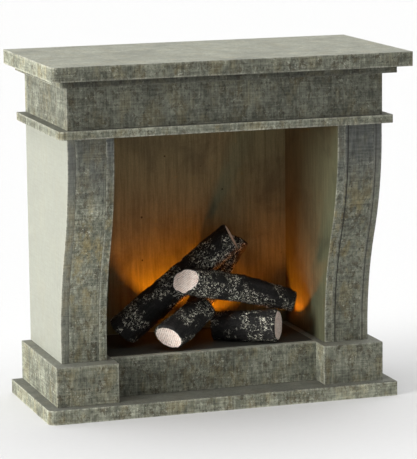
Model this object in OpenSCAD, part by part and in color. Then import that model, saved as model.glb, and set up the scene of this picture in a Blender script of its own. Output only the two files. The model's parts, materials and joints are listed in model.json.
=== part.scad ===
// Miniature fireplace mantel with a battery-lit log fire.
//
// Painted fibreboard is glued up into a chimney piece: base, two plinths, two
// hollow legs with an S-shaped front, a frieze between two mouldings and a
// mantel shelf. A heap of five resin logs lies on the hearth. The hollow under
// the hearth holds three amber lamps, two cells and a slide switch.
//
// Millimetres. +Z is up, +X is right as seen from the front, the front faces -Y.
// The origin is the middle of the outline, on the surface the piece stands on.
// Every board is flush at the back, so depths run forwards from the back plane.

/* [Mantel shelf] */
// Width of the mantel shelf, the widest board
shelf_w = 180; // [178:0.5:190]
// Depth of the mantel shelf
shelf_d = 93; // [90:0.5:98]
// Thickness of the mantel shelf
shelf_t = 7; // [5:0.5:9]
// Radius of the rounded left front corner of the shelf
shelf_corner_r = 2.5; // [1:0.5:6]

/* [Frieze and mouldings] */
// Width of the thin board under the shelf
upper_w = 168.5; // [164:0.5:174]
// Depth of the thin board under the shelf
upper_d = 87; // [84:0.5:89]
// Thickness of the thin board under the shelf
upper_t = 3.5; // [3:0.5:5]
// Width of the frieze
frieze_w = 159; // [158:0.5:163]
// Depth of the frieze
frieze_d = 79.5; // [76:0.5:82]
// Height of the frieze
frieze_h = 21; // [16:0.5:26]
// Width of the moulding under the frieze
lower_w = 168; // [164:0.5:172]
// Depth of the moulding under the frieze
lower_d = 82.5; // [81:0.5:86]
// Thickness of the moulding under the frieze
lower_t = 4; // [3:0.5:6]
// Radius of the rounded left front corners of the mouldings
moulding_corner_r = 2.5; // [1:0.5:6]

/* [Legs] */
// Width over the outer faces of the two legs
leg_span = 159; // [158:0.5:163]
// Width of one leg
leg_w = 23; // [20:0.5:26]
// Height of a leg
leg_h = 112; // [106:1:122]
// Depth of a leg at the top, above the curve
leg_top_d = 79; // [74:0.5:80]
// Depth of a leg at the foot, below the curve
leg_foot_d = 60; // [56:0.5:66]
// Height of the straight stretch at the foot of a leg
foot_straight_h = 7.5; // [4:0.5:12]
// Height of the straight stretch at the top of a leg
top_straight_h = 7; // [4:0.5:12]
// Thickness of the side panels of a leg
panel_t = 4; // [3:0.5:5]
// Thickness of the curved front between the side panels
leg_front_t = 8; // [6:0.5:12]
// Thickness of the panel behind the firebox
back_t = 3; // [2:0.5:4]

/* [Base and hearth] */
// Width of the base slab
base_w = 179.5; // [174:0.5:190]
// Depth of the base slab
base_d = 74.5; // [72:0.5:80]
// Thickness of the base slab
base_t = 7; // [6:0.5:9]
// Radius of the rounded left front corner of the base slab
base_corner_r = 4; // [1:0.5:8]
// Width over the outer faces of the two plinths
plinth_span = 168.5; // [166:0.5:172]
// Width of one plinth
plinth_w = 31.3; // [30:0.1:31.5]
// Depth of a plinth
plinth_d = 68.5; // [67:0.5:71]
// Height of a plinth, which is also the height of the hearth
plinth_h = 19.5; // [19.5:0.5:24]
// Depth from the back to the front of the hearth
hearth_d = 57; // [57:0.5:60]
// Thickness of the boards that box in the hearth
board_t = 4; // [4:0.25:4.5]

/* [Lamps and power] */
// Radius of a lamp lens
lamp_r = 2.45; // [2.3:0.05:2.5]
// Distance between neighbouring lamps
lamp_pitch = 28.5; // [28:0.5:29]
// Radius of a power cell
cell_r = 5.25; // [5:0.05:5.3]
// Length of a power cell with its button
cell_l = 44.5; // [43.5:0.1:44.5]
// Travel of the slide switch
switch_travel = 2; // [1.5:0.1:2]
// Radius of an insulated wire
wire_r = 0.65; // [0.4:0.05:0.7]

/* [Hidden] */
$fn = 48;
curve_fn = 360;
fit_gap = 0.1;
cover_gap = 0.25;
square_corner_r = 0.6;

// Heights of the joints between boards
hearth_z = base_t + plinth_h;
lower_z = hearth_z + leg_h;
frieze_z = lower_z + lower_t;
upper_z = frieze_z + frieze_h;
shelf_z = upper_z + upper_t;
back_y = shelf_d / 2;

// S-curve of the leg front: two arcs of one radius that meet half-way up
curve_foot_z = hearth_z + foot_straight_h;
curve_top_z = lower_z - top_straight_h;
curve_mid_z = (curve_foot_z + curve_top_z) / 2;
curve_rise = curve_top_z - curve_foot_z;
curve_reach = leg_top_d - leg_foot_d;
curve_r = (pow(curve_rise, 2) + pow(curve_reach, 2)) / (4 * curve_reach);

// Inner and outer planes of the right-hand side, mirrored for the left
leg_out_x = leg_span / 2;
leg_in_x = leg_out_x - leg_w;
plinth_in_x = plinth_span / 2 - plinth_w;
hearth_under_z = hearth_z - board_t;

// Lamp strip, hung under the hearth on two spacers
lamp_first_x = -12;
lamp_xs = [for (i = [0:2]) lamp_first_x + i * lamp_pitch];
lamp_depth = 18;
strip_t = 1.6;
strip_z = hearth_under_z - 4;
strip_w = 10;
strip_end = 5.2;
strip_screw_xs = [lamp_xs[0] + lamp_pitch / 2, lamp_xs[1] + lamp_pitch / 2];
lens_top_z = hearth_z - 1.05;
flange_r = lamp_r + 0.45;
flange_h = 1;
lead_r = 0.25;
lead_x = 1.27;

// Cell box, laid on the base slab with its mouth at the back
cover_t = 2.6;
box_x = -49.5;
box_wall = 1.3;
box_w = 2 * (2 * cell_r + fit_gap) + 2 * box_wall + 0.4;
box_h = 2 * cell_r + 0.5 + 2 * box_wall;
box_front_d = hearth_d - board_t - 0.4;
cell_z = base_t + box_h / 2;
cell_xs = [box_x + box_w / 2 - cell_r - fit_gap / 2, box_x + box_w / 2 + cell_r + fit_gap / 2];
cell_back_d = 4.7;
button_r = 1.9;
button_h = 1;
contact_t = 0.4;
contact_d = box_front_d - box_wall - contact_t;
tab_w = 2.4;
tab_top_z = base_t + box_h + 1.8;
boss_r = 3.2;
boss_x = box_x + box_w + 4;
boss_front_d = 14;
cover_x0 = box_x - 1;
cover_x1 = boss_x + boss_r + 0.6;
cover_z0 = base_t + cover_gap;
cover_z1 = base_t + box_h + 0.3;

// Cover screw
screw_r = 0.95;
screw_hole_r = 1;
head_r = 2.5;
head_h = 1.4;
head_recess = 1.6;

// Slide switch behind the back skirt
switch_x = 30;
switch_z = base_t + 7;
switch_plate_t = 0.6;
switch_body_d = 9;
switch_pin_d = 12;
switch_screw_x = 7.5;
knob_w = 3.6;
knob_h = 2;
knob_back_d = 0.9;
slot_w = knob_w + switch_travel + 2 * fit_gap;
slot_h = knob_h + 2 * fit_gap;
small_screw_r = 1;
small_head_r = 2;

// Wires run over the cell box from its tabs and then low over the base slab
tab_d = contact_d + contact_t / 2;
tab_z = tab_top_z - 0.8;
floor_z = base_t + 3;

// ---------------------------------------------------------------- helpers

// Board between two X planes, two depths and two heights
module board(x0, x1, d0, d1, z0, z1)
    translate([x0, back_y - d1, z0])
        cube([x1 - x0, d1 - d0, z1 - z0]);

// What rounding a corner at the origin with radius r takes away
module corner_waste(r)
    difference() {
        translate([-1, -1]) square(r + 1);
        translate([r, r]) circle(r);
    }

// Flat board with a rounded left front corner and a nearly square right one
module shaped_board(w, d, t, z0, left_r)
    translate([0, back_y, z0])
        linear_extrude(t)
            difference() {
                translate([-w / 2, -d]) square([w, d]);
                translate([-w / 2, -d]) corner_waste(left_r);
                translate([w / 2, -d]) mirror([1, 0]) corner_waste(square_corner_r);
            }

// Side view of a leg, drawn with the back plane at zero and the front at minus
module leg_outline() {
    translate([-leg_foot_d, hearth_z])
        square([leg_foot_d, foot_straight_h]);
    difference() {
        translate([-leg_top_d, curve_foot_z])
            square([leg_top_d, curve_rise / 2]);
        translate([-leg_foot_d - curve_r, curve_foot_z])
            circle(curve_r, $fn = curve_fn);
    }
    intersection() {
        translate([-leg_top_d, curve_mid_z])
            square([leg_top_d, curve_rise / 2]);
        translate([curve_r - leg_top_d, curve_top_z])
            circle(curve_r, $fn = curve_fn);
    }
    translate([-leg_top_d, curve_top_z])
        square([leg_top_d, top_straight_h]);
}

// Extrudes a side view along +X from x0
module along_x(x0, w)
    translate([x0, back_y, 0])
        rotate([90, 0, 90])
            linear_extrude(w)
                children();

// Draws a right-hand piece on the left when side is -1
module on_side(side)
    mirror([side < 0 ? 1 : 0, 0, 0])
        children();

// Round rod between two points, tapering from ra to rb
module rod(a, b, ra, rb) {
    v = b - a;
    translate(a)
        rotate([0, acos(v.z / norm(v)), atan2(v.y, v.x)])
            cylinder(h = norm(v), r1 = ra, r2 = rb);
}

// Unit vector
function unit(v) = v / norm(v);

// A path with each inner corner replaced by a short curve of five points
function eased(p, bend) = [
    p[0],
    for (i = [1:len(p) - 2]) let (
        a = p[i] + unit(p[i - 1] - p[i]) * min(bend, norm(p[i - 1] - p[i]) / 2.2),
        b = p[i] + unit(p[i + 1] - p[i]) * min(bend, norm(p[i + 1] - p[i]) / 2.2)
    ) for (f = [0:0.25:1]) a * pow(1 - f, 2) + p[i] * 2 * f * (1 - f) + b * pow(f, 2),
    p[len(p) - 1]
];

// Eight-sided wire of radius r along a path, cut square at both ends
module wire(path, r) {
    p = eased(path, 3);
    sides = 8;
    n = len(p);
    lean = [0.31, 0.17, 0.93];
    points = [for (i = [0:n - 1]) let (
        t = unit(p[min(i + 1, n - 1)] - p[max(i - 1, 0)]),
        u = unit(cross(t, lean)),
        v = cross(t, u)
    ) for (j = [0:sides - 1]) p[i] + r * (u * cos(360 * j / sides) + v * sin(360 * j / sides))];
    last = (n - 1) * sides;
    walls = [for (i = [0:n - 2], j = [0:sides - 1]) let (k = (j + 1) % sides)
        [i * sides + j, i * sides + k, (i + 1) * sides + k, (i + 1) * sides + j]];
    ends = [[for (j = [0:sides - 1]) sides - 1 - j], [for (j = [0:sides - 1]) last + j]];
    polyhedron(points, concat(ends, walls), convexity = 6);
}

// Cylinder along Y between two depths
module along_depth(x, z, d0, d1, r)
    translate([x, back_y - d0, z])
        rotate([90, 0, 0])
            cylinder(h = d1 - d0, r = r);

// A point given as X, depth from the back plane and height
function at(x, d, z) = [x, back_y - d, z];

// ------------------------------------------------------------ boards, base

module base_slab()
    color("darkkhaki")
        shaped_board(base_w, base_d, base_t, 0, base_corner_r);

module plinth(side)
    color("darkseagreen")
        on_side(side)
            board(plinth_in_x, plinth_span / 2, 0, plinth_d, base_t, hearth_z);

module hearth_riser()
    color("gray")
        board(-plinth_in_x, plinth_in_x, hearth_d - board_t, hearth_d, base_t, hearth_z);

module hearth_top()
    color("dimgray")
        difference() {
            board(-plinth_in_x, plinth_in_x, board_t, hearth_d - board_t, hearth_under_z, hearth_z);
            for (x = lamp_xs)
                translate(at(x, lamp_depth, hearth_under_z - 1))
                    cylinder(h = board_t + 2, r = lamp_r + 0.15);
            for (x = strip_screw_xs)
                translate(at(x, lamp_depth, hearth_under_z - 1))
                    cylinder(h = board_t, r = small_screw_r);
        }

// Board at the back of the hearth, cut out for the cell cover and the switch
module back_skirt()
    color("darkgray")
        difference() {
            board(-plinth_in_x, plinth_in_x, 0, board_t, base_t, hearth_z);
            board(cover_x0 - cover_gap, cover_x1 + cover_gap, -1, board_t + 1,
                  base_t - 1, cover_z1 + cover_gap);
            board(switch_x - slot_w / 2 - 0.2, switch_x + slot_w / 2 + 0.2, -1, board_t + 1,
                  switch_z - slot_h / 2 - 0.2, switch_z + slot_h / 2 + 0.2);
            for (x = [-switch_screw_x, switch_screw_x]) {
                along_depth(switch_x + x, switch_z, -1, board_t + 1, small_screw_r);
                countersink(switch_x + x, switch_z);
            }
        }

module countersink(x, z)
    translate([x, back_y, z])
        rotate([90, 0, 0])
            cylinder(h = small_head_r - small_screw_r, r1 = small_head_r, r2 = small_screw_r);

// ------------------------------------------------------------ boards, legs

module outer_panel(side)
    color("lightgray")
        on_side(side)
            along_x(leg_out_x - panel_t, panel_t)
                leg_outline();

module inner_panel(side)
    color("silver")
        on_side(side)
            along_x(leg_in_x, panel_t)
                difference() {
                    leg_outline();
                    translate([-back_t, hearth_z - 1]) square([back_t + 1, leg_h + 2]);
                }

module leg_front(side)
    color("darkseagreen")
        on_side(side)
            along_x(leg_in_x + panel_t, leg_w - 2 * panel_t)
                difference() {
                    leg_outline();
                    translate([leg_front_t, 0]) leg_outline();
                }

module back_panel()
    color("tan")
        board(panel_t - leg_out_x, leg_out_x - panel_t, 0, back_t, hearth_z, lower_z);

// ------------------------------------------------- boards, frieze and shelf

module lower_moulding()
    color("lightgray")
        shaped_board(lower_w, lower_d, lower_t, lower_z, moulding_corner_r);

module frieze_front()
    color("slategray")
        board(-frieze_w / 2, frieze_w / 2, frieze_d - board_t, frieze_d, frieze_z, upper_z);

module frieze_end(side)
    color("lightslategray")
        on_side(side)
            board(frieze_w / 2 - board_t, frieze_w / 2, board_t, frieze_d - board_t,
                  frieze_z, upper_z);

module frieze_back()
    color("slategray")
        board(-frieze_w / 2, frieze_w / 2, 0, board_t, frieze_z, upper_z);

module upper_moulding()
    color("gray")
        shaped_board(upper_w, upper_d, upper_t, upper_z, moulding_corner_r);

module mantel_shelf()
    color("lightgray")
        shaped_board(shelf_w, shelf_d, shelf_t, shelf_z, shelf_corner_r);

// ------------------------------------------------------------------- logs

// A log from point a to point b, given as X, depth and height above the hearth
module log_piece(a, b, ra, rb)
    color("black")
        rod(at(a.x, a.y, hearth_z + a.z), at(b.x, b.y, hearth_z + b.z), ra, rb);

module log_leaning() log_piece([-40.6, 31.4, 7.2], [17.8, 30.2, 51.4], 8, 7.2);
module log_rear() log_piece([-2.8, 17, 3.7], [25.2, 16, 47.1], 6.2, 6.2);
module log_middle() log_piece([-12.4, 46.8, 33.8], [48.6, 38.1, 17.4], 6.9, 5.5);
module log_front_left() log_piece([-23.2, 53.8, 7.5], [0.9, 38.2, 18.1], 7.7, 6.2);
module log_front_right() log_piece([6.6, 32.4, 7.2], [35.4, 50.2, 8.4], 7.1, 8.2);

// ------------------------------------------------------------------ lamps

module lamp(i)
    color("orange")
        translate(at(lamp_xs[i], lamp_depth, strip_z + strip_t)) {
            cylinder(h = flange_h, r = flange_r);
            cylinder(h = lens_top_z - lamp_r - strip_z - strip_t, r = lamp_r);
            translate([0, 0, lens_top_z - lamp_r - strip_z - strip_t]) sphere(lamp_r);
            for (x = [-lead_x, lead_x])
                translate([x, 0, -strip_t - 1]) cylinder(h = strip_t + 1.5, r = lead_r);
        }

module lamp_strip()
    color("seagreen")
        difference() {
            board(lamp_xs[0] - strip_end, lamp_xs[2] + strip_end, lamp_depth - strip_w / 2,
                  lamp_depth + strip_w / 2, strip_z, strip_z + strip_t);
            for (x = strip_screw_xs)
                translate(at(x, lamp_depth, strip_z - 1))
                    cylinder(h = strip_t + 2, r = small_screw_r + fit_gap);
            for (x = lamp_xs, lead = [-lead_x, lead_x])
                translate(at(x + lead, lamp_depth, strip_z - 1))
                    cylinder(h = strip_t + 2, r = lead_r + 0.05);
        }

module lamp_resistor() {
    x = lamp_xs[1] + 8;
    z = strip_z + strip_t;
    color("burlywood") {
        translate(at(x, lamp_depth, z + 1.1))
            rotate([0, 90, 0]) {
                cylinder(h = 4, r = 0.9, center = true);
                cylinder(h = 6, r = lead_r, center = true);
            }
        for (end = [-3, 3])
            translate(at(x + end, lamp_depth, z)) cylinder(h = 1.2, r = lead_r);
    }
}

module strip_spacers()
    color("white")
        for (x = strip_screw_xs)
            translate(at(x, lamp_depth, strip_z + strip_t))
                difference() {
                    cylinder(h = hearth_under_z - strip_z - strip_t, r = 2.2);
                    translate([0, 0, -1]) cylinder(h = 9, r = small_screw_r + fit_gap);
                }

module strip_screws()
    color("silver")
        for (x = strip_screw_xs)
            translate(at(x, lamp_depth, strip_z)) {
                translate([0, 0, -1.2]) cylinder(h = 1.2, r = small_head_r);
                cylinder(h = hearth_under_z - strip_z + 2.5, r = small_screw_r - 0.02);
            }

// ------------------------------------------------------------------ power

module cell_box()
    color("dimgray")
        difference() {
            union() {
                board(box_x, box_x + box_w, cover_t, box_front_d, base_t, base_t + box_h);
                board(box_x + box_w - 1, boss_x, cover_t, boss_front_d, cell_z - 1, cell_z + 1);
                along_depth(boss_x, cell_z, cover_t, boss_front_d, boss_r);
            }
            board(box_x + box_wall, box_x + box_w - box_wall, cover_t - 1,
                  box_front_d - box_wall, base_t + box_wall, base_t + box_h - box_wall);
            along_depth(boss_x, cell_z, cover_t - 1, boss_front_d - 1, screw_hole_r);
            for (x = cell_xs)
                board(x - tab_w / 2 - fit_gap, x + tab_w / 2 + fit_gap, contact_d - fit_gap,
                      box_front_d - box_wall, cell_z, base_t + box_h + 1);
        }

// Power cell along the depth; turned tells whether its button points forwards
module power_cell(x, turned) {
    button_d = turned ? cell_back_d + cell_l - button_h : cell_back_d;
    body_d = turned ? cell_back_d : cell_back_d + button_h;
    color("goldenrod") {
        along_depth(x, cell_z, body_d, body_d + cell_l - button_h, cell_r);
        along_depth(x, cell_z, button_d, button_d + button_h, button_r);
    }
}

// Cone-shaped coil of round wire that stands on z = 0 and narrows upwards
module coil_spring(base_r, top_r, height, turns, wire_radius) {
    sides = 6;
    steps = turns * 14;
    rings = [for (i = [0:steps]) let (
        f = i / steps,
        turn = 360 * turns * f,
        r = base_r + (top_r - base_r) * f,
        z = wire_radius + (height - 2 * wire_radius) * f
    ) [for (j = [0:sides - 1]) let (a = 360 * j / sides, q = r + wire_radius * cos(a))
        [q * cos(turn), q * sin(turn), z + wire_radius * sin(a)]]];
    points = [for (ring = rings) each ring];
    last = steps * sides;
    walls = [for (i = [0:steps - 1], j = [0:sides - 1]) let (k = (j + 1) % sides)
        [i * sides + j, i * sides + k, (i + 1) * sides + k, (i + 1) * sides + j]];
    ends = [[for (j = [0:sides - 1]) sides - 1 - j], [for (j = [0:sides - 1]) last + j]];
    polyhedron(points, concat(ends, walls), convexity = 6);
}

// Sheet contact at the closed end of the box with a tab for its wire
module box_contact(x) {
    board(x - 3, x + 3, contact_d, contact_d + contact_t, cell_z - 3.5, cell_z + 3.5);
    board(x - tab_w / 2, x + tab_w / 2, contact_d, contact_d + contact_t, cell_z, tab_top_z);
}

module box_spring()
    color("silver") {
        box_contact(cell_xs[0]);
        translate([cell_xs[0], back_y - contact_d, cell_z])
            rotate([-90, 0, 0])
                coil_spring(3, 1.9, contact_d - cell_back_d - cell_l - 0.05, 2, 0.3);
    }

module box_plate()
    color("silver") {
        box_contact(cell_xs[1]);
        along_depth(cell_xs[1], cell_z, cell_back_d + cell_l + 0.05, contact_d + 0.1, 1.5);
    }

module cell_cover()
    color("black")
        difference() {
            union() {
                board(cover_x0, cover_x1, 0, cover_t, cover_z0, cover_z1);
                board(box_x + box_wall + 0.2, box_x + box_w - box_wall - 0.2, cover_t,
                      cover_t + 1.4, base_t + box_wall + 0.2, base_t + box_h - box_wall - 0.2);
            }
            board(box_x + box_wall + 1.2, box_x + box_w - box_wall - 1.2, cover_t, cover_t + 2,
                  base_t + box_wall + 1.2, base_t + box_h - box_wall - 1.2);
            along_depth(boss_x, cell_z, -1, cover_t + 1, screw_hole_r + fit_gap);
            along_depth(boss_x, cell_z, -1, head_recess, head_r + 0.3);
            for (i = [0:3])
                board(cover_x0 + 2 + i * 1.4, cover_x0 + 2.7 + i * 1.4, -1, 0.5,
                      cover_z0 + 2.5, cover_z1 - 2.5);
        }

module cover_contact()
    color("silver") {
        board(cell_xs[0] - 3, cell_xs[1] + 3, cover_t, cover_t + contact_t,
              cell_z - 2.6, cell_z + 2.6);
        along_depth(cell_xs[0], cell_z, cover_t + 0.1, cell_back_d - 0.3, 1.5);
        translate([cell_xs[1], back_y - cover_t - contact_t, cell_z])
            rotate([90, 0, 0])
                coil_spring(2.2, 1.4, cell_back_d - 0.3 - cover_t - contact_t, 2, 0.25);
    }

module cover_screw()
    color("lightgray")
        difference() {
            union() {
                along_depth(boss_x, cell_z, head_recess - head_h, head_recess, head_r);
                along_depth(boss_x, cell_z, head_recess - 0.1, boss_front_d - 2.5, screw_r);
            }
            board(boss_x - 1.6, boss_x + 1.6, -1, 0.9, cell_z - 0.3, cell_z + 0.3);
            board(boss_x - 0.3, boss_x + 0.3, -1, 0.9, cell_z - 1.6, cell_z + 1.6);
        }

// ----------------------------------------------------------------- switch

module switch_body()
    color("gray")
        difference() {
            union() {
                board(switch_x - 9.9, switch_x + 9.9, board_t, board_t + switch_plate_t,
                      switch_z - 2.8, switch_z + 2.8);
                board(switch_x - 5, switch_x + 5, board_t + switch_plate_t, switch_body_d,
                      switch_z - 2.7, switch_z + 2.7);
                for (x = [-3, 0, 3])
                    along_depth(switch_x + x, switch_z, switch_body_d - 0.5, switch_pin_d, 0.4);
            }
            board(switch_x - slot_w / 2, switch_x + slot_w / 2, board_t - 1, board_t + 2.4,
                  switch_z - slot_h / 2, switch_z + slot_h / 2);
            for (x = [-switch_screw_x, switch_screw_x])
                along_depth(switch_x + x, switch_z, board_t - 1, board_t + 2, small_screw_r);
        }

// Knob of the switch, at the left end of its slot, where the lamps are on
module switch_slider()
    color("black")
        difference() {
            board(switch_x - switch_travel / 2 - knob_w / 2, switch_x - switch_travel / 2 + knob_w / 2,
                  knob_back_d, board_t + 2.2, switch_z - knob_h / 2, switch_z + knob_h / 2);
            for (x = [-1, 0, 1])
                board(switch_x - switch_travel / 2 + x - 0.2, switch_x - switch_travel / 2 + x + 0.2,
                      knob_back_d - 1, knob_back_d + 0.4, switch_z - knob_h, switch_z + knob_h);
        }

module switch_screws()
    color("silver")
        for (x = [switch_x - switch_screw_x, switch_x + switch_screw_x])
            difference() {
                union() {
                    countersink(x, switch_z);
                    along_depth(x, switch_z, 0.5, board_t + 2.5, small_screw_r - 0.02);
                }
                board(x - 1.2, x + 1.2, -1, 0.5, switch_z - 0.25, switch_z + 0.25);
                board(x - 0.25, x + 0.25, -1, 0.5, switch_z - 1.2, switch_z + 1.2);
            }

// ------------------------------------------------------------------ wires

module supply_wire()
    color("red")
        wire([at(cell_xs[1] + tab_w / 2, tab_d, tab_z), at(-20, tab_d, tab_z),
              at(-20, 46, floor_z), at(20, 40, floor_z), at(switch_x - 3, 22, floor_z),
              at(switch_x - 3, 16, switch_z), at(switch_x - 3, switch_pin_d, switch_z)], wire_r);

module switch_wire()
    color("orange")
        wire([at(switch_x, switch_pin_d, switch_z), at(switch_x, 16, switch_z),
              at(switch_x + 9, 20, floor_z + 2), at(switch_x + 9, 20, strip_z)], wire_r);

module return_wire()
    color("black")
        wire([at(cell_xs[0] + tab_w / 2, tab_d, tab_z), at(cell_xs[0] + 4, tab_d, tab_z),
              at(cell_xs[0] + 6, 46, tab_z), at(-22, 44, tab_z), at(-19, 36, floor_z),
              at(-14, 24, floor_z), at(-8, 20, floor_z + 3), at(-8, 20, strip_z)], wire_r);

// ------------------------------------------------------------------ nodes

base_slab();
plinth(-1);  // left_plinth
plinth(1);  // right_plinth
hearth_riser();
hearth_top();
back_skirt();
outer_panel(-1);  // left_outer_panel
inner_panel(-1);  // left_inner_panel
leg_front(-1);  // left_leg_front
outer_panel(1);  // right_outer_panel
inner_panel(1);  // right_inner_panel
leg_front(1);  // right_leg_front
back_panel();
lower_moulding();
frieze_front();
frieze_end(-1);  // frieze_left_end
frieze_end(1);  // frieze_right_end
frieze_back();
upper_moulding();
mantel_shelf();
log_leaning();
log_rear();
log_middle();
log_front_left();
log_front_right();
lamp(0);  // lamp_left
lamp(1);  // lamp_middle
lamp(2);  // lamp_right
lamp_strip();
lamp_resistor();
strip_spacers();
strip_screws();
cell_box();
power_cell(cell_xs[0], false);  // cell_left
power_cell(cell_xs[1], true);  // cell_right
box_spring();
box_plate();
cell_cover();
cover_contact();
cover_screw();
switch_body();
switch_slider();
switch_screws();
supply_wire();
switch_wire();
return_wire();
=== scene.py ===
"""Miniature fireplace mantel with a battery-lit log fire: finishes, logs, lamps and studio.

Painted fibreboard boards get soft worn edges and a sponged stone paint. Five charred resin
logs with pale sawn ends lie on the hearth, over three amber lamps sunk in its top.
Metres; +Z is up, the front faces -Y.
"""

import json
from math import radians

import bmesh
import bpy
from mathutils import Matrix, Vector

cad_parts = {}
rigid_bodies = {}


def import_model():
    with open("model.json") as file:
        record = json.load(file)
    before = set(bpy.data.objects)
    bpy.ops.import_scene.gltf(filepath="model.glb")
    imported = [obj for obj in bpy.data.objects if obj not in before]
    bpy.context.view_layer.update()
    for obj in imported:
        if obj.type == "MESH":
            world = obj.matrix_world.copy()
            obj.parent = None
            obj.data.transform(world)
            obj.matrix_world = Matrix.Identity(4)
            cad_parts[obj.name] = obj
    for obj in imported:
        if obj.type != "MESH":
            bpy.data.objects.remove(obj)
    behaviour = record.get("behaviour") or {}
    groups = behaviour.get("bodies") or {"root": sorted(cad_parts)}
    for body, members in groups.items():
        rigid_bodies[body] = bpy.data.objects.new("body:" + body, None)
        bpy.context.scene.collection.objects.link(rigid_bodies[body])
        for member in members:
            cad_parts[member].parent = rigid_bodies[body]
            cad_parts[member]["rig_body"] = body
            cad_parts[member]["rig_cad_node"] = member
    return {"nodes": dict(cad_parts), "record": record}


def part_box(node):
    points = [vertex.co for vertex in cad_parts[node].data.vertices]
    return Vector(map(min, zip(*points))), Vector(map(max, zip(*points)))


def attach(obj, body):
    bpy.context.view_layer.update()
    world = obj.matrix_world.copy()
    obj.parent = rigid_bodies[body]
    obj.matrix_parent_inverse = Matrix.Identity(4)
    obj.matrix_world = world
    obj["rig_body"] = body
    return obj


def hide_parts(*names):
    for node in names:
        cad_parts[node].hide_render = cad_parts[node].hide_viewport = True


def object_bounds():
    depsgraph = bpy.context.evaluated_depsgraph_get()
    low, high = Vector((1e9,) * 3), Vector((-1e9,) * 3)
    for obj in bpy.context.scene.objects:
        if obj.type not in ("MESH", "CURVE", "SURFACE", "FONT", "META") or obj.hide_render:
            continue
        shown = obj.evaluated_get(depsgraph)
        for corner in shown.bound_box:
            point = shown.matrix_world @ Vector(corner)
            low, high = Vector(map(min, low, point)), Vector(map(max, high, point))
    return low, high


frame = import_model()
cad_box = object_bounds()
nodes = frame["nodes"]
scene = bpy.context.scene

# millimetres
PATTERN_STEP = 41.0             # between two boards' places in the paint pattern
SEAM_LINES = (61.9, 76.4)       # dark lines drawn up the legs, from the middle; the boards' joints
                                # themselves lie 1.4 and 0.9 nearer to the middle
LAMP_ROW = 28.5                 # the row of lamps, behind the middle
BAND_START = -2.0               # where the dark band of a cell's wrap starts

# metres
WORN_RIM = 0.0013               # width of the worn rim of a board's face
EASED_CORNER = 0.00032          # width of a board's rounded corners
BARK_RING = 0.0007              # step between two rings of a log's mesh
LOG_SPARE = 0.008               # length added at each end of a log, before it is cut
BARK_RIM_DEPTH = 0.0009         # how far the rounded rim of a cut reaches
BARK_RIM = ((0.00022, 0.00045), (0.0004, 0.00033), (0.00045, 0.00012))

SMALL_FACE = 60e-6              # square metres, a face below this gets no rim
OPEN_FACES = ("back_skirt", "hearth_top")   # boards with openings, which get no worn rim


# ------------------------------------------------------------ shader sums

class Value:
    """The output of a shader node, with ordinary arithmetic."""

    def __init__(self, finish, socket):
        self.finish = finish
        self.socket = socket

    def arithmetic(self, operation, a, b=0.0):
        return self.finish.node("ShaderNodeMath", {"operation": operation}, {0: a, 1: b})

    def __add__(self, other):
        return self.arithmetic("ADD", self, other)

    __radd__ = __add__

    def __mul__(self, other):
        return self.arithmetic("MULTIPLY", self, other)

    __rmul__ = __mul__

    def __sub__(self, other):
        return self.arithmetic("SUBTRACT", self, other)

    def __rsub__(self, other):
        return self.arithmetic("SUBTRACT", other, self)

    def __pow__(self, other):
        return self.arithmetic("POWER", self, other)

    def __abs__(self):
        return self.arithmetic("ABSOLUTE", self)

    def over(self, low, high):
        """Smooth step: 0 at low, 1 at high."""
        return self.finish.node("ShaderNodeMapRange", {"interpolation_type": "SMOOTHSTEP"},
                                {"Value": self, "From Min": low, "From Max": high})

    def scaled(self, x, y, z):
        """A vector stretched along each axis."""
        return self.finish.node("ShaderNodeVectorMath", {"operation": "MULTIPLY"},
                                {0: self, 1: (x, y, z)})

    def moved(self, other):
        """A vector with another vector, or one number on all axes, added."""
        step = other if isinstance(other, Value) else (other, other, other)
        return self.finish.node("ShaderNodeVectorMath", {"operation": "ADD"}, {0: self, 1: step})

    def axis(self, name):
        return self.finish.node("ShaderNodeSeparateXYZ", {}, {0: self}, name)


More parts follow.
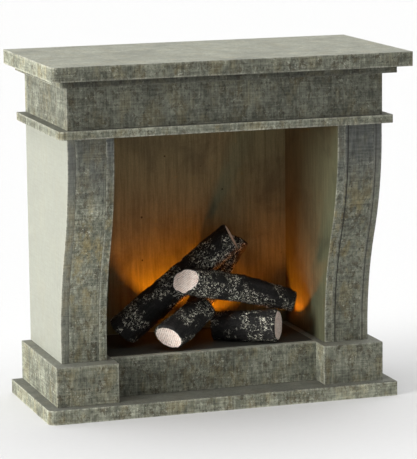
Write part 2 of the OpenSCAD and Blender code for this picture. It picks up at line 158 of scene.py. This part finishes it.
class Finish:
    """One procedural material."""

    def __init__(self, name, **constant):
        self.material = bpy.data.materials.new(name)
        self.material.use_nodes = True
        self.tree = self.material.node_tree
        self.shader = self.tree.nodes["Principled BSDF"]
        for socket, value in constant.items():
            self.shader.inputs[socket.replace("_", " ")].default_value = value

    def fill(self, socket, value):
        if isinstance(value, Value):
            self.tree.links.new(value.socket, socket)
        elif isinstance(value, tuple) and len(value) == 3 and socket.type == "RGBA":
            socket.default_value = (*value, 1)
        else:
            socket.default_value = value

    def node(self, kind, settings, inputs, output=0):
        """Adds a node: its settings first, then its sockets' values or links."""
        made = self.tree.nodes.new(kind)
        for name, value in settings.items():
            setattr(made, name, value)
        for name, value in inputs.items():
            self.fill(made.inputs[name], value)
        return Value(self, made.outputs[output])

    def millimetres(self):
        """Object coordinates in millimetres, moved apart from board to board."""
        place = self.node("ShaderNodeTexCoord", {}, {}, "Object")
        shift = self.number("board") * PATTERN_STEP
        return place.scaled(1000, 1000, 1000).moved(
            self.node("ShaderNodeCombineXYZ", {}, {0: shift, 1: shift, 2: shift}))

    def axis_of_object(self, name):
        """One object coordinate in millimetres."""
        return self.node("ShaderNodeTexCoord", {}, {}, "Object").axis(name) * 1000

    def number(self, name):
        return self.node("ShaderNodeAttribute", {"attribute_name": name}, {}, "Fac")

    def vector(self, name):
        return self.node("ShaderNodeAttribute", {"attribute_name": name}, {}, "Vector")

    def noise(self, place, scale, detail=3.0, rough=0.55, twist=0.0):
        return self.node("ShaderNodeTexNoise", {},
                         {"Vector": place, "Scale": scale, "Detail": detail,
                          "Roughness": rough, "Distortion": twist})

    def cells(self, place, scale, output="Distance"):
        return self.node("ShaderNodeTexVoronoi", {}, {"Vector": place, "Scale": scale}, output)

    def mix(self, a, b, share):
        """Colour a, going to colour b by share."""
        return self.node("ShaderNodeMix", {"data_type": "RGBA"}, {0: share, 6: a, 7: b}, 2)

    def tinted(self, colour, amount):
        """A colour made lighter or darker by a number."""
        return self.node("ShaderNodeVectorMath", {"operation": "SCALE"},
                         {0: colour, "Scale": amount})

    def relief(self, height, depth):
        """Feeds a height, in millimetres, into the shading."""
        bump = self.node("ShaderNodeBump", {}, {"Height": height, "Distance": 0.001,
                                                "Strength": depth})
        self.fill(self.shader.inputs["Normal"], bump)

    def finished(self, colour, roughness):
        self.fill(self.shader.inputs["Base Color"], colour)
        self.fill(self.shader.inputs["Roughness"], roughness)
        return self.material


# ---------------------------------------------------------------- finishes

def sponged_stone(f, p):
    """The colour and the height of sponged stone paint, worn along the edges of a board, with painted
    light and shade by the way each face turns.
    """
    # which way the surface faces
    facing = f.node("ShaderNodeNewGeometry", {}, {}, "Normal")
    side = abs(facing.axis("X")).over(0.5, 0.9)
    right = facing.axis("X").over(0.5, 0.9)
    top = facing.axis("Z").over(0.5, 0.9)
    front = (0 - facing.axis("Y")).over(0.15, 0.45)
    back = facing.axis("Y").over(0.45, 0.75)
    # tops, backs and right faces, and the sides of calm boards, are drawn even and nearer a neutral
    # grey, which on the tops is a painted sheen
    calm_and_sheen = (f.number("calm_and_sheen") * (side + front * 0.4) + top * 0.58 + back * 0.6 + right * 0.4).over(0, 1)
    lively = 1 - calm_and_sheen * 0.85

    # heights on the legs: ochre low down, painted shade under the moulding, a paler left leg
    z = f.axis_of_object("Z")
    legs = z.over(45, 72) * (1 - z.over(92, 112)) * front
    painted_shade_under_moulding = z.over(98, 130) * (1 - z.over(138, 139)) * front
    pale = legs * (0 - f.axis_of_object("X")).over(50, 55)

    # the nearer of the two seam lines of a leg
    across = abs(f.axis_of_object("X"))
    off_line = f.node("ShaderNodeMath", {"operation": "MINIMUM"},
                      {0: abs(across - SEAM_LINES[0]), 1: abs(across - SEAM_LINES[1])})
    seam = f.number("seam")
    has_seams = (seam * 50).over(0, 1)
    edge = f.number("edge") * (1 - (1 - off_line.over(0.6, 1.7)) * has_seams)

    # the patterns, from broad to fine
    cloud = f.noise(p, 0.035, 3.0, 0.6, 0.5)
    sponge = f.noise(p, 0.11, 7.0, 0.74, 0.3)
    stain = f.noise(p.scaled(1, 1, 0.45).moved(90.0), 0.13, 4.0, 0.65)
    blot = f.noise(p.scaled(1, 1, 0.6).moved(33.0), 0.34, 5.0, 0.78, 0.4)
    dabs = f.noise(p.scaled(1, 1, 0.7).moved(17.0), 0.42, 5.0, 0.72, 0.2)
    rubbed = f.noise(p.moved(50.0), 0.6, 4.0, 0.7).over(0.36, 0.58)
    grit = f.noise(p.moved(71.0), 0.75, 5.0, 0.82)
    upright = f.noise(p.scaled(1, 1, 0.08), 1.2, 2.0)
    level = f.noise(p.scaled(0.08, 0.08, 1), 1.2, 2.0)
    weave = (upright + level - 1.0) * lively

    # the paint, coat by coat
    shade = (cloud - 0.5) * 1.9 + (sponge - 0.5) * 1.2 + (dabs - 0.5) * 2.8
    paint = f.mix((0.112, 0.117, 0.088), (0.33, 0.34, 0.262), shade * lively + 0.5)
    brown = blot.over(0.52, 0.58) * sponge.over(0.4, 0.52) * lively
    paint = f.mix(paint, (0.085, 0.067, 0.037), brown * 0.72)
    ochre = stain.over(0.46, 0.66) * (0.08 + lively * (0.26 + legs * 0.4))
    paint = f.mix(paint, (0.29, 0.235, 0.105), ochre)
    pale_grit = grit.over(0.565, 0.62) * sponge.over(0.42, 0.6) * lively
    paint = f.mix(paint, (0.6, 0.61, 0.51), pale_grit * 0.8)
    paint = f.mix(paint, (0.022, 0.018, 0.012), (1 - grit.over(0.36, 0.42)) * lively * 0.9)
    # painted shade: leg fronts darker towards the lower moulding above them
    paint = f.mix(paint, (0.085, 0.092, 0.095), painted_shade_under_moulding * (0.35 + cloud.over(0.35, 0.6) * 0.45))
    paint = f.mix(paint, (0.56, 0.555, 0.46), (edge ** 1.7) * rubbed * 0.62)
    seam_line = (1 - off_line.over(0.12, 0.5)) * seam * side.over(1, 0)
    paint = f.mix(paint, (0.016, 0.014, 0.01), seam_line)
    # the even faces drawn towards a neutral grey: smoother paint, and a painted sheen on the tops
    paint = f.mix(paint, (0.27, 0.272, 0.25), calm_and_sheen * 0.5)
    # each board's paint drawn paler or darker, which also paints shade, and its sides and top lighter
    # or darker as painted light and shade
    tone_and_shade = f.number("tone_and_shade") * (1 + side * f.number("side_painted_shading")) * (1 + top * f.number("top_painted_shading"))
    # front faces drawn 42% darker, a painted shade; the left leg paler at mid height
    paint = f.tinted(paint, tone_and_shade * (1 - front * 0.42) * (1 + weave * 1.3) * (1 + pale * 0.32))
    return paint, sponge * 0.1 + blot * 0.1 + grit * 0.14 + weave * 0.12


def stone_paint():
    """Sponged stone-coloured paint on fibreboard."""
    f = Finish("stone_paint", Specular_IOR_Level=0.3)
    paint, height = sponged_stone(f, f.millimetres())
    f.relief(height, 0.5)
    return f.finished(paint, 0.6 + height * 0.8)


def firebox_paint():
    """Thin sooty olive paint brushed upwards on the firebox walls, stone paint in front."""
    f = Finish("firebox_paint", Specular_IOR_Level=0.22)
    p = f.millimetres()
    stone, stone_height = sponged_stone(f, p)
    facing = f.node("ShaderNodeNewGeometry", {}, {}, "Normal")
    front = ((0 - facing.axis("Y")).over(0.45, 0.75) * f.number("front_stone")
             + facing.axis("Y").over(0.45, 0.75))
    brush = f.noise(p.scaled(1, 1, 0.06), 0.7, 5.0, 0.7)
    smoke = f.noise(p, 0.045, 4.0, 0.6, 0.3)
    fine = f.noise(p, 1.2, 4.0, 0.7)
    paint = f.mix((0.094, 0.097, 0.053), (0.14, 0.143, 0.08), brush.over(0.36, 0.64))
    paint = f.mix(paint, (0.052, 0.049, 0.028), smoke.over(0.46, 0.74) * 0.6)
    dot = f.cells(p, 0.16)
    pick = f.cells(p, 0.16, "Color").axis("X")
    paint = f.mix(paint, (0.01, 0.008, 0.006), (1 - dot.over(0.06, 0.12)) * pick.over(0.82, 0.85) * 0.9)
    paint = f.mix(paint, (0.3, 0.29, 0.22), (f.number("edge") ** 2.0) * fine.over(0.38, 0.6) * 0.14)
    # walls darkened where set for the board: painted shade on the right inner wall
    paint = f.tinted(paint, (0.7 + fine * 0.6) * f.number("wall_painted_shade"))
    f.relief(brush * 0.1 + fine * 0.06 + stone_height * front, 0.5)
    return f.finished(f.mix(paint, stone, front), 0.62 + brush * 0.2)


def charred_bark():
    """Black resin bark, dry-brushed with cream on its raised flakes."""
    f = Finish("charred_bark", Specular_IOR_Level=0.28)
    g = f.vector("grain")
    patch = f.noise(g, 0.1, 3.0, 0.55, 0.4)
    flake = f.noise(g.scaled(1, 1, 0.75), 0.72, 5.0, 0.8, 0.8)
    ridge = f.noise(g.scaled(1, 1, 0.25), 0.55, 4.0, 0.65, 0.5)
    crumb = f.noise(g, 2.6, 3.0, 0.65)
    raised = f.number("raised")
    thick = patch.over(0.48, 0.56) * (0.3 + raised.over(0.3, 0.6) * 0.7)
    cream = flake.over(0.56, 0.58) * (0.05 + thick * 0.95)
    speck = f.noise(g.moved(40.0), 0.95, 4.0, 0.8, 0.6).over(0.57, 0.585) * patch.over(0.45, 0.54)
    bark = f.mix((0.0035, 0.003, 0.003), (0.016, 0.0142, 0.0138), ridge.over(0.4, 0.7))
    bark = f.mix(bark, (0.34, 0.335, 0.26), cream * 0.9)
    bark = f.mix(bark, (0.85, 0.83, 0.69), speck * 0.95)
    f.relief(ridge * 0.5 + flake * 0.6 + crumb * 0.12, 0.9)
    return f.finished(bark, 0.56 + flake * 0.3)


def sawn_wood():
    """Pinkish cream sawn end of a log, with faint rings and saw lines."""
    f = Finish("sawn_wood", Specular_IOR_Level=0.3)
    g = f.vector("grain")
    blot = f.noise(g, 0.5, 4.0, 0.65)
    fine = f.noise(g, 2.4, 3.0, 0.6)
    rings = f.node("ShaderNodeTexWave", {"wave_type": "RINGS", "rings_direction": "Z"},
                   {"Vector": g, "Scale": 0.32, "Distortion": 2.2, "Detail": 2.0, "Detail Scale": 1.2})
    wood = f.mix((0.84, 0.68, 0.59), (0.98, 0.87, 0.79), blot.over(0.3, 0.62))
    wood = f.mix(wood, (0.46, 0.31, 0.25), rings.over(0.66, 0.9) * 0.5)
    crack = f.noise(g.scaled(1, 1, 0.3), 1.5, 4.0, 0.75, 1.2).over(0.56, 0.6)
    wood = f.mix(wood, (0.16, 0.095, 0.07), crack * 0.7)
    f.relief(fine * 0.2 + rings * 0.08, 0.6)
    return f.finished(wood, 0.75 + fine * 0.1)


def moulded(name, colour, roughness, grain=1.6, depth=0.25):
    """Moulded plastic or enamel with a fine even texture."""
    f = Finish(name)
    p = f.millimetres()
    fine = f.noise(p, grain, 3.0, 0.6)
    broad = f.noise(p, 0.12, 3.0, 0.5)
    f.relief(fine * 0.08, depth)
    return f.finished(f.tinted(colour, 0.82 + fine * 0.12 + broad * 0.26), roughness + broad * 0.15)


def bare_metal(name, colour, roughness):
    """Plated sheet or wire with fine drawn lines and dull patches."""
    f = Finish(name, Metallic=1.0)
    p = f.millimetres()
    drawn = f.noise(p.scaled(1, 0.12, 1), 3.2, 3.0, 0.6)
    dull = f.noise(p, 0.5, 3.0, 0.6)
    f.relief(drawn * 0.05, 0.4)
    return f.finished(f.tinted(colour, 0.8 + drawn * 0.2 + dull * 0.2), roughness + dull * 0.25)


def green_laminate():
    """Green solder mask over a copper track that runs along the strip."""
    f = Finish("green_laminate", Coat_Weight=0.3, Specular_IOR_Level=0.5)
    p = f.millimetres()
    fine = f.noise(p, 1.4, 3.0, 0.6)
    weave = f.noise(p.scaled(1, 0.3, 1), 4.0, 2.0)
    across = abs(p.axis("Y") - f.number("board") * PATTERN_STEP - LAMP_ROW)
    track = across.over(2.2, 2.4) * (1 - across.over(3.4, 3.6))
    board = f.mix((0.012, 0.105, 0.045), (0.02, 0.16, 0.065), track * 0.8 + fine * 0.2)
    f.relief(track * 0.05 + weave * 0.02, 0.6)
    return f.finished(board, 0.32 + fine * 0.15)


def amber_lens():
    """Clear amber lens, lit from inside."""
    f = Finish("amber_lens", Specular_IOR_Level=0.5, Emission_Strength=0.6)
    p = f.millimetres()
    swirl = f.noise(p, 0.7, 2.0, 0.5)
    f.fill(f.shader.inputs["Emission Color"], f.mix((1.0, 0.26, 0.012), (1.0, 0.38, 0.03), swirl))
    f.shader.inputs["Alpha"].default_value = 0.28
    return f.finished(f.mix((0.9, 0.32, 0.03), (1.0, 0.42, 0.06), swirl), 0.12 + swirl * 0.1)


def cell_wrap():
    """Plain printed foil: an ochre body with a dark band round one end."""
    f = Finish("cell_wrap", Metallic=0.55)
    p = f.millimetres()
    fine = f.noise(p, 1.5, 3.0, 0.6)
    along = p.axis("Y") - f.number("board") * PATTERN_STEP
    band = along.over(BAND_START - 0.2, BAND_START + 0.2)
    foil = f.mix((0.5, 0.29, 0.06), (0.03, 0.03, 0.033), band)
    f.relief(fine * 0.03, 0.3)
    return f.finished(f.tinted(foil, 0.85 + fine * 0.25), 0.28 + fine * 0.15)


FINISHES = {
    "stone_paint": stone_paint(),
    "firebox_paint": firebox_paint(),
    "charred_resin": charred_bark(),
    "amber_lens": amber_lens(),
    "green_laminate": green_laminate(),
    "beige_enamel": moulded("beige_enamel", (0.52, 0.4, 0.24), 0.35),
    "white_nylon": moulded("white_nylon", (0.78, 0.77, 0.72), 0.5),
    "zinc_steel": bare_metal("zinc_steel", (0.6, 0.6, 0.58), 0.3),
    "nickel": bare_metal("nickel", (0.72, 0.69, 0.62), 0.22),
    "black_plastic": moulded("black_plastic", (0.022, 0.022, 0.024), 0.48, 2.2, 0.5),
    "cell_wrap": cell_wrap(),
    "red_pvc": moulded("red_pvc", (0.5, 0.02, 0.015), 0.4),
    "orange_pvc": moulded("orange_pvc", (0.62, 0.17, 0.015), 0.4),
    "black_pvc": moulded("black_pvc", (0.02, 0.02, 0.021), 0.4),
}
sawn = sawn_wood()

body_of_node = {n: body for body, members in frame["record"]["behaviour"]["bodies"].items()
                for n in members}
slot_of_node = {s["node"]: s["material_slot"] for s in frame["record"]["subparts"]}
for name, node in nodes.items():
    node.data.materials.clear()
    node.data.materials.append(FINISHES[slot_of_node[name]])


# ------------------------------------------------------------------ pieces

def work_on(piece):
    """Makes one piece the only selected and active object."""
    bpy.ops.object.select_all(action="DESELECT")
    piece.select_set(True)
    bpy.context.view_layer.objects.active = piece


def apply_modifier(piece, kind, **settings):
    work_on(piece)
    modifier = piece.modifiers.new(kind.lower(), kind)
    for name, value in settings.items():
        setattr(modifier, name, value)
    bpy.ops.object.modifier_apply(modifier=modifier.name)


def copy_of(node_name, name):
    """A copy of a CAD node's mesh with its loose triangles joined up."""
    piece = bpy.data.objects.new(name, nodes[node_name].data.copy())
    scene.collection.objects.link(piece)
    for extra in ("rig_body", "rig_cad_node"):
        if extra in piece:
            del piece[extra]
    work_on(piece)
    bpy.ops.object.mode_set(mode="EDIT")
    bpy.ops.mesh.select_all(action="SELECT")
    bpy.ops.mesh.remove_doubles(threshold=2e-6)
    bpy.ops.mesh.dissolve_limited(angle_limit=radians(0.4))
    bpy.ops.object.mode_set(mode="OBJECT")
    return piece


def smooth_faces(mesh, start):
    """The faces reached from one face without crossing a sharp edge."""
    found, waiting = {start.index}, [start]
    while waiting:
        face = waiting.pop()
        for edge in face.edges:
            for other in edge.link_faces:
                if other.index not in found and face.normal.angle(other.normal, 0) < radians(20):
                    found.add(other.index)
                    waiting.append(other)
    return found


def mark_edges(piece, rim):
    """Insets every face of a board and marks its edges 1 and the rest 0, for the wear."""
    work_on(piece)
    bpy.ops.object.mode_set(mode="EDIT")
    bpy.ops.mesh.select_mode(type="FACE")
    mesh = bmesh.from_edit_mesh(piece.data)
    edge = mesh.verts.layers.float.new("edge")
    for v in mesh.verts:
        v[edge] = 1.0
    region = mesh.faces.layers.int.new("region")
    mesh.faces.index_update()
    regions = 0
    for face in mesh.faces:
        face[region] = 0
    for face in list(mesh.faces):
        if face[region] == 0:
            regions += 1
            mesh.faces.ensure_lookup_table()
            for index in smooth_faces(mesh, face):
                mesh.faces[index][region] = regions
    bmesh.update_edit_mesh(piece.data)
    for wanted in range(1, regions + 1):
        bpy.ops.mesh.select_all(action="DESELECT")
        mesh = bmesh.from_edit_mesh(piece.data)
        region = mesh.faces.layers.int["region"]
        area = 0.0
        for face in mesh.faces:
            chosen = face[region] == wanted
            face.select_set(chosen)
            area += face.calc_area() if chosen else 0.0
        bmesh.update_edit_mesh(piece.data)
        if area < SMALL_FACE:
            continue
        bpy.ops.mesh.inset(thickness=rim, use_even_offset=True, use_boundary=True)
        mesh = bmesh.from_edit_mesh(piece.data)
        edge = mesh.verts.layers.float["edge"]
        for face in mesh.faces:
            if face.select:
                for v in face.verts:
                    v[edge] = 0.0
        bmesh.update_edit_mesh(piece.data)
    bpy.ops.object.mode_set(mode="OBJECT")


def board(node_name, number, tone_and_shade=1.0, side_painted_shading=0.0, top_painted_shading=0.0, calm_and_sheen=0.0, seam=0.0):
    """A painted board: worn rims, eased corners, its own place in the paint pattern.

    Of its paint numbers, the first is how pale its paint is drawn, and on the boards under the shelf it
    paints the shelf's shade; the next two paint its sides and its top lighter or darker, as painted
    light and shade; the fourth is how even its sides are drawn, nearer a neutral grey that is partly a
    painted sheen; and seam is how dark the lines up its front are. A board with openings in a face gets
    no worn rim, because the inset left a stray dark triangle.
    """
    piece = copy_of(node_name, "painted_" + node_name)
    if node_name not in OPEN_FACES:
        mark_edges(piece, WORN_RIM)
    apply_modifier(piece, "BEVEL", width=EASED_CORNER, segments=3, limit_method="ANGLE",
                   angle_limit=radians(30), use_clamp_overlap=True)
    front_stone = 0 if node_name == "back_panel" else 1
    # the right inner wall drawn darker, a painted shade of the left leg
    wall_painted_shade = 0.6 if node_name == "right_inner_panel" else 1.0
    for name, value in (("board", number), ("tone_and_shade", tone_and_shade), ("side_painted_shading", side_painted_shading),
                        ("top_painted_shading", top_painted_shading), ("calm_and_sheen", calm_and_sheen), ("seam", seam),
                        ("front_stone", front_stone), ("wall_painted_shade", wall_painted_shade)):
        piece.data.attributes.new(name, "FLOAT", "POINT")
        for item in piece.data.attributes[name].data:
            item.value = value
    work_on(piece)
    bpy.ops.object.shade_smooth_by_angle(angle=radians(35))
    apply_modifier(piece, "WEIGHTED_NORMAL", keep_sharp=True, weight=80)
    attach(piece, body_of_node[node_name])
    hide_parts(node_name)


# tone with painted shade, side and top painted light and shade, calm with painted sheen, and seam of
# each board.
# The frieze and the upper moulding are drawn darker as the shelf's shade, the tops of the lower
# moulding, plinths and base slab darker as painted shade, and sides lighter or darker as painted light
# and shade;
# the hearth top is drawn very dark.
TONES_AND_PAINTED_SHADE = {
    "mantel_shelf": (0.96, 0.12, 0.06, 0, 0), "upper_moulding": (0.47, 0.6, 0, 0, 0),
    "frieze_front": (0.78, 0, 0, 0.3, 0), "frieze_left_end": (0.8, 0, 0, 0.2, 0),
    "frieze_right_end": (0.8, 0, 0, 0.2, 0), "lower_moulding": (1.2, -0.25, -0.4, 0, 0),
    "left_outer_panel": (1.2, 0.04, 0, 1, 0.25), "right_outer_panel": (1.0, 0.18, 0, 1, 0.9),
    "left_inner_panel": (1.25, 0, 0, 0, 0.25), "right_inner_panel": (1.16, 0, 0, 0, 0.9),
    "left_leg_front": (1.25, 0, 0, 0, 0.25), "right_leg_front": (1.02, 0, 0, 0, 0.9),
    "left_plinth": (1.24, -0.25, -0.45, 0, 0), "right_plinth": (1.05, -0.38, -0.4, 0, 0),
    "base_slab": (1.66, -0.34, -0.66, 0, 0), "hearth_riser": (1.17, 0, 0, 0, 0),
    "hearth_top": (0.14, 0, 0, 0, 0),
}
PAINTED = [n for n in frame["record"]["behaviour"]["bodies"]["mantel"]
           if slot_of_node[n] in ("stone_paint", "firebox_paint")]
for number, painted in enumerate(PAINTED, 1):
    board(painted, number, *TONES_AND_PAINTED_SHADE.get(painted, ()))


# -------------------------------------------------------------------- logs

bark_lumps = bpy.data.textures.new("bark_lumps", "CLOUDS")
bark_lumps.noise_scale = 0.006
bark_lumps.noise_depth = 3
bark_flakes = bpy.data.textures.new("bark_flakes", "CLOUDS")
bark_flakes.noise_scale = 0.0021
bark_flakes.noise_depth = 2


def saw_off(piece, place, way):
    """Cuts a log off at a place, facing a way, with a rounded bark rim and a sawn face."""
    bpy.ops.object.mode_set(mode="EDIT")
    bpy.ops.mesh.select_all(action="SELECT")
    start_of_rim = place - way.normalized() * BARK_RIM_DEPTH
    bpy.ops.mesh.bisect(plane_co=start_of_rim, plane_no=way, use_fill=True, clear_outer=True)
    bpy.ops.mesh.select_mode(type="FACE")
    mesh = bmesh.from_edit_mesh(piece.data)
    for face in mesh.faces:
        flat = face.normal.angle(way, 3) < 0.02
        face.select_set(flat and abs((face.calc_center_median() - start_of_rim).dot(way)) < 1e-5)
    bmesh.update_edit_mesh(piece.data)
    for thickness, depth in BARK_RIM:
        bpy.ops.mesh.inset(thickness=thickness, depth=depth)
    mesh = bmesh.from_edit_mesh(piece.data)
    for face in mesh.faces:
        if face.select:
            face.material_index = 1
    bmesh.update_edit_mesh(piece.data)
    bpy.ops.mesh.inset(thickness=0.0003, depth=-0.00015)
    bpy.ops.object.mode_set(mode="OBJECT")


def log(name, node_name, start, end, radii, cut0, cut1, bow):
    """A charred log from start to end: X, depth and height in millimetres.

    radii are those of its start, middle and end. cut0 and cut1 are the ways its sawn ends
    face. bow lifts its middle.
    """
    back = cad_box[1][1]
    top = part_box("hearth_top")[1].z
    a = Vector((start[0] / 1000, back - start[1] / 1000, top + start[2] / 1000))
    b = Vector((end[0] / 1000, back - end[1] / 1000, top + end[2] / 1000))
    length = (b - a).length
    bpy.ops.object.select_all(action="DESELECT")
    bpy.ops.mesh.primitive_cylinder_add(vertices=56, radius=1, depth=1, end_fill_type="NGON")
    piece = bpy.context.object
    piece.name = name
    bpy.ops.object.mode_set(mode="EDIT")
    bpy.ops.mesh.select_mode(type="EDGE")
    bpy.ops.mesh.select_all(action="DESELECT")
    mesh = bmesh.from_edit_mesh(piece.data)
    for e in mesh.edges:
        e.select_set(abs(e.verts[0].co.z - e.verts[1].co.z) > 0.5)
    bmesh.update_edit_mesh(piece.data)
    full_length = length + 2 * LOG_SPARE
    rings = int(full_length / BARK_RING)
    bpy.ops.mesh.subdivide(number_cuts=rings)
    bpy.ops.object.mode_set(mode="OBJECT")
    for v in piece.data.vertices:
        f = v.co.z + 0.5
        z = -LOG_SPARE + f * full_length
        along = min(max(z / length, 0), 1)
        r = (radii[0] * (1 - along) * (1 - 2 * along) + radii[1] * 4 * along * (1 - along)
             + radii[2] * along * (2 * along - 1)) / 1000
        v.co = Vector((v.co.x * r, v.co.y * r, z))
    piece.data.update()
    grain = piece.data.attributes.new("grain", "FLOAT_VECTOR", "POINT")
    seed = 60.0 * (len(name) + ord(name[-1]))
    for item, v in zip(grain.data, piece.data.vertices):
        item.vector = v.co * 1000 + Vector((seed, seed * 0.7, seed * 1.3))
    before = [v.co.copy() for v in piece.data.vertices]
    for texture, height in ((bark_lumps, 0.0019), (bark_flakes, 0.0009)):
        apply_modifier(piece, "DISPLACE", texture=texture, texture_coords="LOCAL",
                       direction="NORMAL", strength=height, mid_level=0.54)
    raised = piece.data.attributes.new("raised", "FLOAT", "POINT")
    for item, v, old in zip(raised.data, piece.data.vertices, before):
        item.value = 0.5 + (v.co - old).dot(Vector((old.x, old.y, 0)).normalized()) * 1100
    turn = (b - a).to_track_quat("Z", "Y").to_matrix().to_4x4()
    lift = turn.inverted() @ Vector((0, 0, 1))
    for v in piece.data.vertices:
        v.co += lift * bow * (4 * (v.co.z / length) * (1 - v.co.z / length))
    piece.data.transform(Matrix.Translation(a) @ turn)
    piece.data.update()
    work_on(piece)
    piece.data.materials.clear()
    piece.data.materials.append(FINISHES["charred_resin"])
    piece.data.materials.append(sawn)
    for place, way in ((a, Vector(cut0)), (b, Vector(cut1))):
        saw_off(piece, place, way)
    work_on(piece)
    bpy.ops.object.shade_smooth_by_angle(angle=radians(42))
    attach(piece, "mantel")
    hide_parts(node_name)


log("leaning_log", "log_leaning", (-40.6, 31.4, 7.2), (17.8, 30.2, 51.4), (8.4, 8.1, 7.5),
    (-0.62, 0.3, -0.72), (0.83, -0.28, 0.48), 0)
log("rear_log", "log_rear", (-2.8, 17, 3.7), (25.2, 16, 47.1), (6.2, 6.4, 6.5),
    (-0.4, 0, -0.92), (0.5, 0.3, 0.8), 0)
log("middle_log", "log_middle", (-12.4, 46.8, 33.6), (48.6, 38.1, 17.2), (7.0, 6.9, 5.5),
    (-0.71, -0.59, 0.39), (0.9, -0.3, -0.25), 0.0016)
log("front_left_log", "log_front_left", (-23.2, 53.8, 7.5), (0.9, 38.2, 18.1), (7.9, 7.4, 6.3),
    (-0.58, -0.58, -0.57), (0.7, 0.5, 0.5), 0)
log("front_right_log", "log_front_right", (6.6, 32.4, 7.2), (35.4, 50.2, 8.4), (7.1, 7.6, 8.3),
    (-0.86, 0.5, -0.06), (0.82, -0.57, 0.04), 0)


# -------------------------------------------------------- lamps and studio

def lamp_light(node_name, power, sunk, aside=0.0, back=0.0):
    """The lit chip of a lamp, sunk below the hearth top, so the hole shapes its beam.

    aside and back move it off the middle of its hole, which tips the beam the other way.
    """
    low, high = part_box(node_name)
    data = bpy.data.lights.new("light_" + node_name, "POINT")
    data.energy = power
    data.color = (1.0, 0.26, 0.004)
    data.shadow_soft_size = 0.0004
    light = bpy.data.objects.new(data.name, data)
    light.location = ((low.x + high.x) / 2 + aside, (low.y + high.y) / 2 + back,
                      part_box("hearth_top")[1].z - sunk)
    scene.collection.objects.link(light)


lamp_light("lamp_left", 0.5, 0.0037)
lamp_light("lamp_middle", 0.12, 0.0019)
lamp_light("lamp_right", 0.22, 0.0036, -0.0009, 0.0013)


def sun(name, strength, spread, towards, colour=(1, 1, 1)):
    """Soft light from one side; towards is the way from the object to the light."""
    data = bpy.data.lights.new(name, "SUN")
    data.energy = strength
    data.angle = radians(spread)
    data.color = colour
    light = bpy.data.objects.new(name, data)
    light.rotation_euler = Vector(towards).to_track_quat("Z", "Y").to_euler()
    scene.collection.objects.link(light)


sun("key_left", 4.5, 26, (-0.96, -0.25, 0.15), (1.0, 0.998, 0.975))
sun("overhead", 4.0, 90, (-0.1, 0.12, 1.0))
sun("fill_right", 0.6, 60, (0.9, 0.75, 0.3))

world = bpy.data.worlds.new("studio")
world.use_nodes = True
sky = world.node_tree.nodes
sky_way = sky.new("ShaderNodeTexCoord")
sky_axes = sky.new("ShaderNodeSeparateXYZ")
sky_band = sky.new("ShaderNodeMapRange")
sky_band.interpolation_type = "SMOOTHSTEP"
for socket, value in (("From Min", 0.04), ("From Max", 0.12), ("To Min", 0.9), ("To Max", 0.02)):
    sky_band.inputs[socket].default_value = value
world.node_tree.links.new(sky_way.outputs["Generated"], sky_axes.inputs[0])
world.node_tree.links.new(sky_axes.outputs["Z"], sky_band.inputs["Value"])
world.node_tree.links.new(sky_band.outputs[0], sky["Background"].inputs["Strength"])
sky["Background"].inputs["Color"].default_value = (1.0, 1.0, 1.0, 1)
scene.world = world

bpy.ops.object.select_all(action="DESELECT")
bpy.ops.mesh.primitive_circle_add(vertices=96, radius=6, fill_type="NGON", location=(0, 0, 0))
floor = bpy.context.object
floor.name = "floor"
paper = Finish("floor_paper", Specular_IOR_Level=0.1)
paper_place = paper.node("ShaderNodeTexCoord", {}, {}, "Object")
tooth = paper.noise(paper_place, 300.0, 3.0, 0.6)
floor.data.materials.append(paper.finished(paper.tinted((0.64, 0.64, 0.64), 0.98 + tooth * 0.04), 0.9))

scene.view_settings.view_transform = "Standard"
scene.view_settings.look = "None"

camera_data = bpy.data.cameras.new("camera")
camera_data.lens = 204.02
camera_data.sensor_width = 36
camera_data.clip_start = 0.05
camera_data.clip_end = 30
camera = bpy.data.objects.new("camera", camera_data)
target = Vector((0.00086, 0.00122, 0.08502))
azimuth, elevation, roll, distance = radians(-18.117), radians(9.804), radians(-0.640), 1.28599
camera.matrix_world = (Matrix.Translation(target) @ Matrix.Rotation(azimuth, 4, "Z")
                       @ Matrix.Rotation(radians(90) - elevation, 4, "X")
                       @ Matrix.Rotation(roll, 4, "Z") @ Matrix.Translation((0, 0, distance)))
scene.collection.objects.link(camera)
scene.camera = camera
